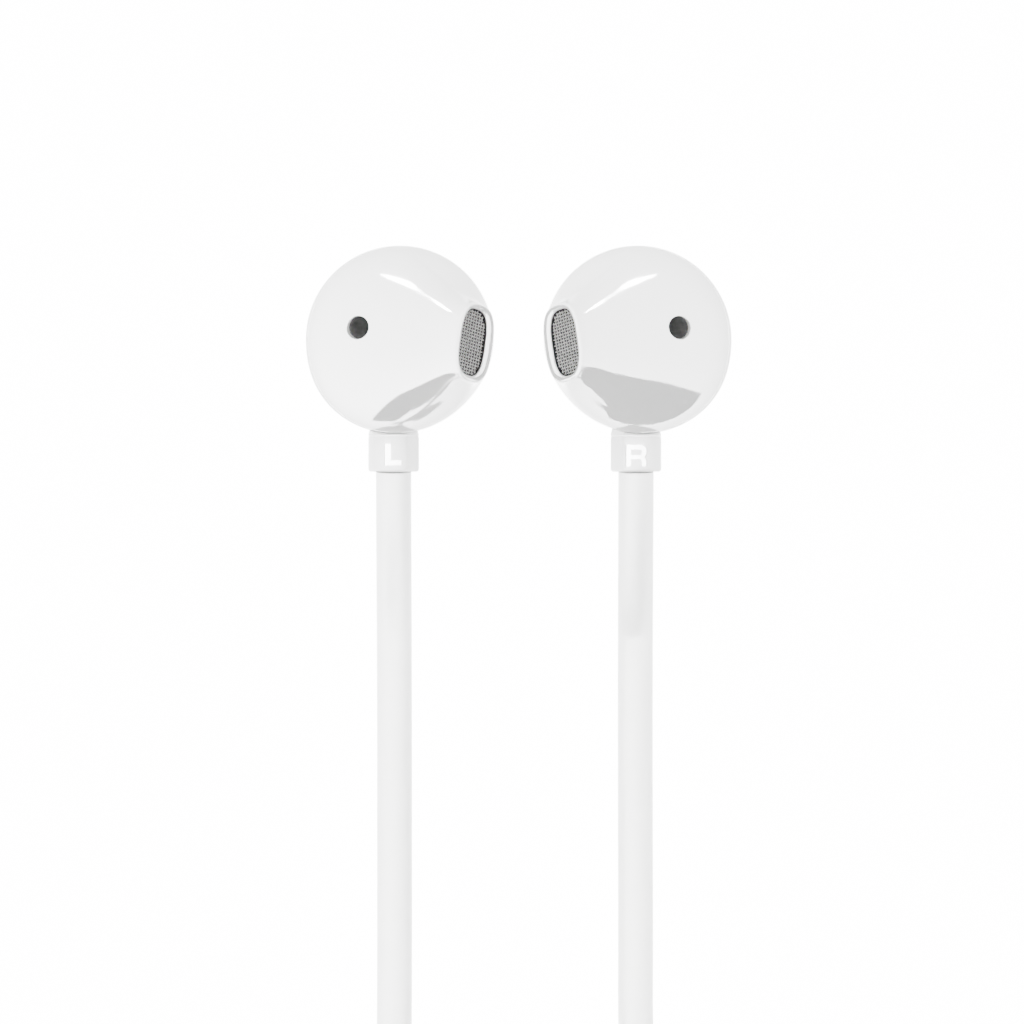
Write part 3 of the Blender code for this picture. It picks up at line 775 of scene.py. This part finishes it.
def damper_with_shade_liner_skin(side):
    """The foam cup: a crowned pad across the bore behind the wire, and a liner up the bore that rises past
    the wire as painted shade around it.
    """
    turns = [2 * math.pi * k / 96 for k in range(96)]

    def ring(half, depth):
        return [oblong(a, half, 0, depth) for a in turns]

    outer = (MOUTH_HALF[0] - 0.01, MOUTH_HALF[1] - 0.01)
    pad = [ring((CUP_INNER[0] * s, CUP_INNER[1] * s), FOAM_DEPTH - 0.06 * (1 - s * s))
           for s in (1, 0.8, 0.5, 0.15)]
    back = ring((outer[0] * 0.15, outer[1] * 0.15), SHADE_LINER_DEPTH[1])
    return mirrored(loft([*reversed(pad), ring(CUP_INNER, SHADE_LINER_DEPTH[0] + 0.04), ring(outer, SHADE_LINER_DEPTH[0]),
                          ring(outer, SHADE_LINER_DEPTH[1]), back]), side)


for ear, side in BUD_SIDE.items():
    bud_at = (-side * BUD_X, BUD_Y, SEAM_Z)
    cloth = mirrored(wires(wire_paths(), WIRE_D / 2, 8), side)
    place_piece(f"grille_{ear}", make_mesh("grille", cloth, [drawn_stainless]), "wire_mesh",
                node=f"nozzle_grille_{ear}", at=bud_at)
    # The damper's liner rises past the wire: painted shade round the grille.
    place_piece(f"damper_with_shade_liner_{ear}", make_mesh("damper_with_shade_liner", damper_with_shade_liner_skin(side), [black_foam]), "damping_foam",
                node=f"nozzle_damper_{ear}", at=bud_at)
    disc = [(VENT_R - 0.01, -VENT_CLOTH_DEPTH - 0.15), (VENT_R - 0.01, -VENT_CLOTH_DEPTH)]
    disc += [(VENT_R * s, -VENT_CLOTH_DEPTH + 0.02 * (1 - s)) for s in (0.9, 0.6, 0.3)]
    disc = on_vent(turned(disc, 48), side)
    place_piece(f"vent_cloth_{ear}", make_mesh("vent_cloth", disc, [vent_cloth[side]]), "dark_mesh",
                node=f"vent_mesh_{ear}", at=bud_at)


# ---------------------------------------------------------------- collars
# A sleeve of harder white silicone, moulded over the start of each lead. Its top follows the
# bowl, one side is planed flat, and the ear's letter is sunk into it with a polished floor.

COLLAR_R = 2.43
COLLAR_TOP_GAP = 0.04
COLLAR_TURNS = [2 * math.pi * k / 144 for k in range(144)]
PLANED_AT, PLANED_HALF = math.radians(28), math.radians(30)
LETTER_DEPTH = 0.13
SLICE_WIDTH = 0.15
LETTERS = {
    "l": {"at": (-0.88, -12.03), "loops": [
        ((0, 0), (1.77, 0), (1.77, 0.47), (0.66, 0.47), (0.66, 2.05), (0, 2.05))]},
    "r": {"at": (-1.09, -12.12), "loops": [
        ((0, 0), (0.55, 0), (0.55, 0.66), (1.42, 0.66), (1.6, 0.48), (1.6, 0), (2.16, 0), (2.16, 0.58),
         (1.95, 0.88), (2.16, 1.16), (2.16, 1.62), (2.0, 1.9), (1.68, 2.05), (0, 2.05)),
        ((0.55, 1.06), (0.55, 1.6), (1.46, 1.6), (1.6, 1.46), (1.6, 1.2), (1.46, 1.06))]},
}

# The same rubber from a spark-eroded tool, a shade duller than the lead, and from a polished one.
moulded_silicone = finished("moulded_white_silicone", ("F1F1F0", "EAEAEA"), 2.5, (0.42, 0.56), 0.18, 0.008,
                            even={"IOR": 1.41})
polished_silicone = finished("polished_white_silicone", ("FAFAFA", "F4F4F4"), 2.0, (0.1, 0.2), 0.3, 0.002,
                             even={"IOR": 1.43, "Specular IOR Level": 1.0, "Coat Weight": 1.0,
                                   "Coat IOR": 1.6})


def collar_ring(radius, side, x, at_y=None):
    """One loop of the collar; without a height it follows the bowl."""
    planed = PLANED_AT if side > 0 else math.pi - PLANED_AT
    ring = []
    for turn in COLLAR_TURNS:
        off = abs((turn - planed + math.pi) % (2 * math.pi) - math.pi)
        reach = radius * (math.cos(PLANED_HALF) / math.cos(off) if off < PLANED_HALF else 1)
        px, pz = x + reach * math.cos(turn), LEAD_AXIS_Z + reach * math.sin(turn)
        y = at_y
        if y is None:
            deep = min(max(-pz / BOWL_DEPTH, 0), 1)
            bowl = HEAD_R * (1 - deep ** BOWL_ROUNDNESS) ** (1 / BOWL_ROUNDNESS) + COLLAR_TOP_GAP
            y = -math.sqrt(bowl ** 2 - (px - side * drift(-HEAD_R)) ** 2)
        ring.append(Vector((px, y, pz)))
    return ring


def collar_skin(side, x):
    """The sleeve, with a band near its top, soft edges, and the bore that the lead leaves by."""
    rings = [collar_ring(COLLAR_R * share, side, x) for share in (0.1, 0.4, 0.7, 0.95)]
    edge = ((0.0, -9.12), (0.05, -9.18), (0.05, -9.32), (0.0, -9.38), (0.0, -12.35), (0.03, -12.47),
            (0.1, -12.57), (0.22, -12.63), (0.36, -12.63), (0.42, -12.45), (0.68, -12.45), (0.73, -12.62))
    return loft(rings + [collar_ring(COLLAR_R - inset, side, x, y) for inset, y in edge])


def glyph_skin(loops, low, high):
    """A flat letter or sign as a thin block, sliced into narrow strips so that it can be bent."""
    skin = bmesh.new()
    edges = []
    for loop in loops:
        verts = [skin.verts.new((x, y, low)) for x, y in loop]
        edges += [skin.edges.new(pair) for pair in zip(verts, verts[1:] + verts[:1])]
    bmesh.ops.triangle_fill(skin, use_beauty=True, use_dissolve=False, edges=edges)
    width = max(x for loop in loops for x, _ in loop)
    for k in range(1, int(width / SLICE_WIDTH) + 1):
        bmesh.ops.bisect_plane(skin, geom=[*skin.verts, *skin.edges, *skin.faces], dist=1e-5,
                               plane_co=(k * SLICE_WIDTH - 0.01, 0, 0), plane_no=(1, 0, 0))
    raised = bmesh.ops.extrude_face_region(skin, geom=skin.faces[:], use_keep_orig=True)["geom"]
    for vert in raised:
        if isinstance(vert, bmesh.types.BMVert):
            vert.co.z = high
    return skin


def letter_skin(letter, x):
    """The ear's letter, wrapped round the collar."""
    skin = glyph_skin(letter["loops"], COLLAR_R - LETTER_DEPTH, COLLAR_R + 0.3)
    for vert in skin.verts:
        turn = math.pi / 2 - (vert.co.x + letter["at"][0]) / COLLAR_R
        vert.co = (x + vert.co.z * math.cos(turn), vert.co.y + letter["at"][1],
                   LEAD_AXIS_Z + vert.co.z * math.sin(turn))
    return skin


for ear, side in BUD_SIDE.items():
    sleeve = make_mesh("lead_collar", collar_skin(side, LEAD_X[ear]), [moulded_silicone])
    collar = place_piece(f"lead_collar_{ear}", sleeve, "white_silicone", node=f"collar_{ear}",
                         at=(-side * BUD_X, BUD_Y, SEAM_Z))
    cut(collar, [letter_skin(LETTERS[ear], LEAD_X[ear])], polished_silicone)


# ---------------------------------------------------------------- drivers inside the buds
# A 14 mm moving-coil driver sits behind each front shell. Its CAD shapes are right as they are,
# so each keeps its own and takes a finish: nylon basket, nickel-plated steel, magnet, coil, film.

glass_nylon = finished("glass_filled_nylon", ("242526", "313234"), 2.0, (0.45, 0.62), 0.12, 0.012,
                       even={"IOR": 1.53})
nickel_steel = finished("nickel_plated_steel", ("CFCBC4", "BDB9B1"), 1.5, (0.2, 0.36), 0.08, 0.003,
                        even={"Metallic": 1.0})
coated_magnet = finished("nickel_coated_magnet", ("BFC0C2", "A9AAAD"), 0.8, (0.12, 0.3), 0.2, 0.004,
                         even={"Metallic": 1.0})


def windings(tree, place, pitch):
    """Turns of wire lying side by side up a coil."""
    wave = add_node(tree, "TexWave", {"Vector": place, "Scale": math.pi / 10 / (pitch * MM)},
                    wave_type="BANDS", bands_direction="Z")
    return wave.outputs["Fac"]


# Enamelled copper, wound at 0.05 mm and drawn at twice that, with painted shade in the grooves between turns,
# so that the turns show.
wound_copper = finished("wound_enamelled_copper", ("8E4A22", "D98A52"), 1.0, (0.25, 0.4), 0.1, 0.03,
                        relief=lambda tree, place: windings(tree, place, 0.1), even={"Metallic": 1.0})


def ripples(tree, place, centre, pitch):
    """Rings pressed round a point, as in a formed cone."""
    off = add_node(tree, "VectorMath", {0: place, 1: centre * MM}, operation="SUBTRACT").outputs[0]
    flat = add_node(tree, "VectorMath", {0: off, 1: (1, 1, 0)}, operation="MULTIPLY").outputs[0]
    radius = add_node(tree, "VectorMath", {0: flat}, operation="LENGTH").outputs["Value"]
    phase = add_node(tree, "Math", {0: radius, 1: 2 * math.pi / (pitch * MM)}, operation="MULTIPLY")
    wave = add_node(tree, "Math", {0: phase.outputs[0]}, operation="SINE").outputs[0]
    return add_node(tree, "MapRange", {0: wave, 1: -1.0, 2: 1.0}).outputs[0]


def dress(node, finish):
    """Give a CAD node a finish in place of its plain one."""
    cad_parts[node].data.materials.clear()
    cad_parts[node].data.materials.append(finish)


for ear, side in BUD_SIDE.items():
    # Polyester film, hot-pressed: clear grey, glossy, with fine rings, painted darker in their troughs as
    # shade.
    axis_at = Vector((-side * BUD_X, BUD_Y, 0))
    film = finished(f"pressed_polyester_film_{ear}", ("9A9DA1", "C9CBCE"), 1.5, (0.15, 0.3), 0.2, 0.02,
                    relief=lambda tree, place, at=axis_at: ripples(tree, place, at, 0.55), even={"IOR": 1.6})
    for node, finish in (("driver_basket", glass_nylon), ("driver_yoke", nickel_steel),
                         ("driver_magnet", coated_magnet), ("driver_top_plate", nickel_steel),
                         ("voice_coil", wound_copper), ("diaphragm", film),
                         ("lead_anchor", moulded_silicone)):
        dress(f"{node}_{ear}", finish)


# ---------------------------------------------------------------- pods
# Two pill-shaped cases hang on the neck lead: battery in one, keys and radio in the other. Each
# is two satin white ABS trays snapped together, with silicone boots where the lead goes in.

POD_W, POD_L, POD_H = 10.5, 42.0, 7.5
POD_CORNER = 3.2
SHOULDER = (2.0, 2.15)
PART_LINE = 0.04
KEY_Y = {"volume_up": 10.2, "play": 2.6, "volume_down": -5.0}
KEY_HALF = (2.2, 2.5)
KEY_CLEAR = 0.14
KEY_TOP = POD_H + 0.5
LENS_Y = 15.5
PORT_Y, PORT_Z = -13.0, 4.2
MIC_HOLE = (2.7, 6.4)

# ABS from a spark-eroded tool: a fine even texture that breaks the gloss down to satin.
satin_abs = finished("spark_eroded_white_abs", ("F5F5F4", "EEEEEE"), 7.0, (0.3, 0.42), 0.14, 0.01,
                     even={"IOR": 1.53})


def rounded_box(half_x, half_y, corner, height, per_corner=12):
    """A rectangle with round corners, as one loop at a height."""
    loop = []
    for quarter, (sx, sy) in enumerate(((1, 1), (-1, 1), (-1, -1), (1, -1))):
        for turn in spread(quarter * math.pi / 2, (quarter + 1) * math.pi / 2, per_corner - 1):
            loop.append(Vector((sx * (half_x - corner) + corner * math.cos(turn),
                                sy * (half_y - corner) + corner * math.sin(turn), height)))
    return loop


def block(levels, per_corner=12):
    """A block from (half x, half y, corner radius, height) levels."""
    return loft([rounded_box(hx, hy, corner, z, per_corner) for hx, hy, corner, z in levels])


def tray_skin(way):
    """Half of a case: a round-shouldered outside, a lip at the parting line, and a hollow."""
    middle = POD_H / 2
    outside = [(SHOULDER[0] * (1 - math.cos(t)), middle - SHOULDER[1] + SHOULDER[1] * math.sin(t))
               for t in spread(math.pi / 2, 0, 14)]
    outside += [(0, 0.14), (0.03, PART_LINE + 0.02), (0.1, PART_LINE)]
    inside = [(1.0, PART_LINE), (1.0, 1.5), (1.4, 2.4), (1.9, 2.75)]
    return loft([rounded_box(POD_W / 2 - inset, POD_L / 2 - inset, max(POD_CORNER - inset, 0.9),
                             middle + way * high) for inset, high in outside + inside])


def boot_skin(way):
    """A tapered strain relief with three flex grooves; the lead's end sits in its tip."""
    profile = [(0.4, -0.3), (2.38, -0.3), (2.5, -0.18), (2.47, 0.75), (2.2, 0.95), (2.2, 1.2), (2.38, 1.4),
               (2.32, 1.95), (2.07, 2.15), (2.07, 2.4), (2.24, 2.6), (2.16, 3.15), (1.94, 3.35), (1.94, 3.6),
               (2.08, 3.8), (2.0, 4.5), (1.94, 4.64), (1.86, 4.7), (1.8, 4.58), (1.74, 4.58), (1.7, 4.7)]
    skin = turned(profile, 48)
    bmesh.ops.rotate(skin, matrix=Matrix.Rotation(-way * math.pi / 2, 3, "X"), verts=skin.verts)
    return skin


def key_hole():
    """The opening for one key, with a soft edge."""
    hx, hy = (half + KEY_CLEAR for half in KEY_HALF)
    return block([(hx, hy, 1.1, POD_H - 2.5), (hx, hy, 1.1, POD_H - 0.12),
                  (hx + 0.05, hy + 0.05, 1.15, POD_H - 0.04), (hx + 0.2, hy + 0.2, 1.3, POD_H + 0.3)])


def port_hole():
    """The charging port's mouth, in the pod's left side."""
    skin = block([(1.85, 4.75, 1.6, -1.4), (1.85, 4.75, 1.6, 1.4)])
    return moved(laid(skin, "Y"), -POD_W / 2, PORT_Y, PORT_Z)


for pod, pod_x in POD_X.items():
    at = (pod_x, HANK_Y, 0)
    top_holes, bottom_holes = [], []
    if pod == "control":
        lens_hole = turned(((0.78, POD_H - 2.5), (0.78, POD_H + 1)), 32)
        mic_hole = turned(((0.3, POD_H - 2.5), (0.3, POD_H - 0.08), (0.42, POD_H + 0.1)), 24)
        top_holes = [moved(key_hole(), 0, y, 0) for y in KEY_Y.values()]
        top_holes += [moved(lens_hole, 0, LENS_Y, 0), moved(mic_hole, *MIC_HOLE, 0), port_hole()]
        bottom_holes = [port_hole()]
    for half, way, holes in (("top", 1, top_holes), ("bottom", -1, bottom_holes)):
        tray = place_piece(f"{pod}_case_{half}", make_mesh(f"{pod}_case_{half}", tray_skin(way), [satin_abs]),
                           "satin_case", node=f"{pod}_housing_{half}", at=at)
        cut(tray, holes)
    for end, way in (("upper", 1), ("lower", -1)):
        boot_at = (pod_x, HANK_Y + way * (POD_L / 2 + 0.3), BOOT_Z)
        relief = make_mesh("strain_relief", boot_skin(way), [moulded_silicone])
        place_piece(f"{pod}_strain_relief_{end}", relief, "white_silicone", node=f"{pod}_boot_{end}",
                    at=boot_at)


# ---------------------------------------------------------------- keys, status light and socket
# Three pale keys of silicone keypad rubber, dished for the finger, with volume and play signs sunk into
# them and inked grey. Above them sits a milky light pipe, and in the pod's side a charging socket.

KEY_ROUND, KEY_DISH = 0.3, 0.12
SIGN_DEPTH = 0.09
BAR = 0.17
keypad_rubber = finished("matt_keypad_rubber", ("DADBDC", "CFD0D2"), 3.0, (0.5, 0.62), 0.12, 0.008,
                         even={"IOR": 1.41})
inked = finished("grey_key_ink", ("8A8C8F", "7B7D80"), 0.8, (0.5, 0.65), 0.1, 0.004,
                 even={"Specular IOR Level": 0.05})
SIGNS = {
    "volume_up": [((-1, -BAR), (-BAR, -BAR), (-BAR, -1), (BAR, -1), (BAR, -BAR), (1, -BAR),
                   (1, BAR), (BAR, BAR), (BAR, 1), (-BAR, 1), (-BAR, BAR), (-1, BAR))],
    "play": [((-0.7, -0.95), (0.95, 0), (-0.7, 0.95))],
    "volume_down": [((-1, -BAR), (1, -BAR), (1, BAR), (-1, BAR))],
}


def key_skin():
    """A key: post, retaining flange, skirt, a rounded edge, and a shallow dish on top."""
    hx, hy = KEY_HALF
    levels = [(0.7, 0.7, 0.3, -3.8), (0.7, 0.7, 0.3, -2.55), (2.85, 3.1, 1.3, -2.55), (2.85, 3.1, 1.3, -1.95),
              (hx, hy, 1.0, -1.95)]
    for turn in spread(0, math.pi / 2, 8):
        inset = KEY_ROUND * (1 - math.cos(turn))
        levels.append((hx - inset, hy - inset, 1.0 - inset, -KEY_ROUND * (1 - math.sin(turn))))
    levels += [(hx * share, hy * share, 0.7 * share, -dip)
               for share, dip in ((0.7, 0.05), (0.5, 0.09), (0.25, KEY_DISH))]
    return block(levels)


for name, y in KEY_Y.items():
    key = place_piece(f"{name}_keycap", make_mesh("keycap", key_skin(), [keypad_rubber]), "soft_key",
                      body=f"{name}_key", node=f"key_{name}", at=(POD_X["control"], HANK_Y + y, KEY_TOP))
    cut(key, [glyph_skin(SIGNS[name], -KEY_DISH - SIGN_DEPTH, 0.5)], inked)


def crinkle(tree, place, size):
    """Soft dents with sharp creases between them."""
    dents = add_node(tree, "TexVoronoi", {"Vector": place, "Scale": 1 / (size * MM)}, feature="SMOOTH_F1")
    return dents.outputs["Distance"]


def tracks(tree, place, pitch):
    """Straight copper tracks and pads showing through the mask."""
    grid = add_node(tree, "TexBrick", {
        "Vector": place, "Scale": 1 / (pitch * MM), "Mortar Size": 0.06, "Row Height": 0.45,
        "Color1": (0, 0, 0, 1), "Color2": (0.25, 0.25, 0.25, 1), "Mortar": (1, 1, 1, 1)})
    return grid.outputs["Color"]


# Pouch foil is dented by its own seal, its creases painted darker as shade; solder mask lies over the copper
# tracks as a green varnish, the tracks showing lighter.
pouch_foil = finished("aluminium_pouch_foil", ("D6D6D4", "B9B9B8"), 3.0, (0.22, 0.42), 0.3, 0.06,
                      relief=lambda tree, place: crinkle(tree, place, 2.4), even={"Metallic": 1.0})
solder_mask = finished("green_solder_mask", ("0E5A30", "1F7A45"), 2.0, (0.25, 0.4), 0.2, 0.015,
                       relief=lambda tree, place: tracks(tree, place, 1.6), even={"IOR": 1.55})
milky_pipe = finished("milky_polycarbonate", ("F4F6F7", "E6EAEC"), 0.8, (0.2, 0.32), 0.15, 0.003,
                      even={"IOR": 1.585, "Subsurface Weight": 0.15})
tongue_resin = finished("black_liquid_crystal_polymer", ("191A1B", "26282A"), 0.6, (0.35, 0.5), 0.1, 0.006)
gold_flash = finished("gold_flashed_contact", ("E3B964", "CFA24A"), 0.4, (0.2, 0.35), 0.05, 0.002,
                      even={"Metallic": 1.0})
for node, finish in (("battery_cell", pouch_foil), ("protection_board", solder_mask),
                     ("main_board", solder_mask), ("status_lens", milky_pipe)):
    dress(node, finish)
for node in ("radio_shield", "microphone", "usb_socket", "switch_volume_up", "switch_play",
             "switch_volume_down"):
    dress(node, nickel_steel)

# The socket's tongue and its contacts, five on the side that shows.
TONGUE_HALF = (0.35, 3.3)
tongue_at = (POD_X["control"] - POD_W / 2 + 1.0, HANK_Y + PORT_Y, PORT_Z)
tongue = block(((0.28, 3.2, 0.15, 0.0), (*TONGUE_HALF, 0.2, 0.12), (*TONGUE_HALF, 0.2, 4.6)), 6)
laid(tongue, "Y")
place_piece("usb_tongue", make_mesh("usb_tongue", tongue, [tongue_resin]), "driver_frame", at=tongue_at)
contacts = bmesh.new()
for k in range(-5, 6, 2):
    for face in (-1, 1):
        pad = bmesh.ops.create_cube(contacts, size=1.0)["verts"]
        bmesh.ops.scale(contacts, vec=(2.6, 0.3, 0.04), verts=pad)
        bmesh.ops.translate(contacts, vec=(2.0, k * 0.5, face * (TONGUE_HALF[0] + 0.02)), verts=pad)
place_piece("usb_contacts", make_mesh("usb_contacts", contacts, [gold_flash]), "plated_steel", at=tongue_at)


# ---------------------------------------------------------------- ties
# A band of white hook-and-loop nylon round the three runs on each side, its end lapped on top.

RUN_HALF = 5.5
BAND_IN = (RUN_HALF, 2.0)
BAND_THICK = 0.7
BAND_WIDTH = 6.0
BAND_Z = TIE_LIFT + LEAD_D / 2


# Nylon tape with rows of small loops: soft, dull, a little brighter along its edges, with painted shade in
# the gaps of its weave.
hook_and_loop = finished("white_hook_and_loop_nylon", ("DADADA", "F3F3F2"), 2.0, (0.6, 0.8), 0.2, 0.12,
                         relief=lambda tree, place: weave(tree, place, 0.55, 0.0),
                         even={"Sheen Weight": 0.3})


def band_skin():
    """The closed band, with soft edges."""
    half = BAND_WIDTH / 2
    side = [(0, half - 0.2), (0.06, half - 0.06), (0.2, half), (BAND_THICK - 0.2, half),
            (BAND_THICK - 0.06, half - 0.06), (BAND_THICK, half - 0.2)]
    section = [(0, -half + 0.2)] + side + [(out, -along) for out, along in reversed(side)][:-1]
    return loft([rounded_box(BAND_IN[0] + out, BAND_IN[1] + out, 0.45 + out, along)
                 for out, along in section], True)


for hand, side in (("left", -1), ("right", 1)):
    at = (side * (SLOT[0] + SLOT[2]) / 2, HANK_Y, BAND_Z)
    band = laid(band_skin(), "X")
    place_piece(f"tie_band_{hand}", make_mesh("tie_band", band, [hook_and_loop]),
                            "white_silicone", node=f"tie_{hand}", at=at)
    lap = block([(2.5, 2.8, 0.5, 0.0), (2.7, 3.0, 0.6, 0.08), (2.7, 3.0, 0.6, 0.5), (2.5, 2.8, 0.5, 0.6)])
    lap_z = BAND_Z + BAND_IN[1] + BAND_THICK + 0.01
    place_piece(f"tie_lap_{hand}", make_mesh("tie_lap", lap, [hook_and_loop]), "white_silicone",
                            at=(at[0] - side * 1.5, HANK_Y, lap_z))
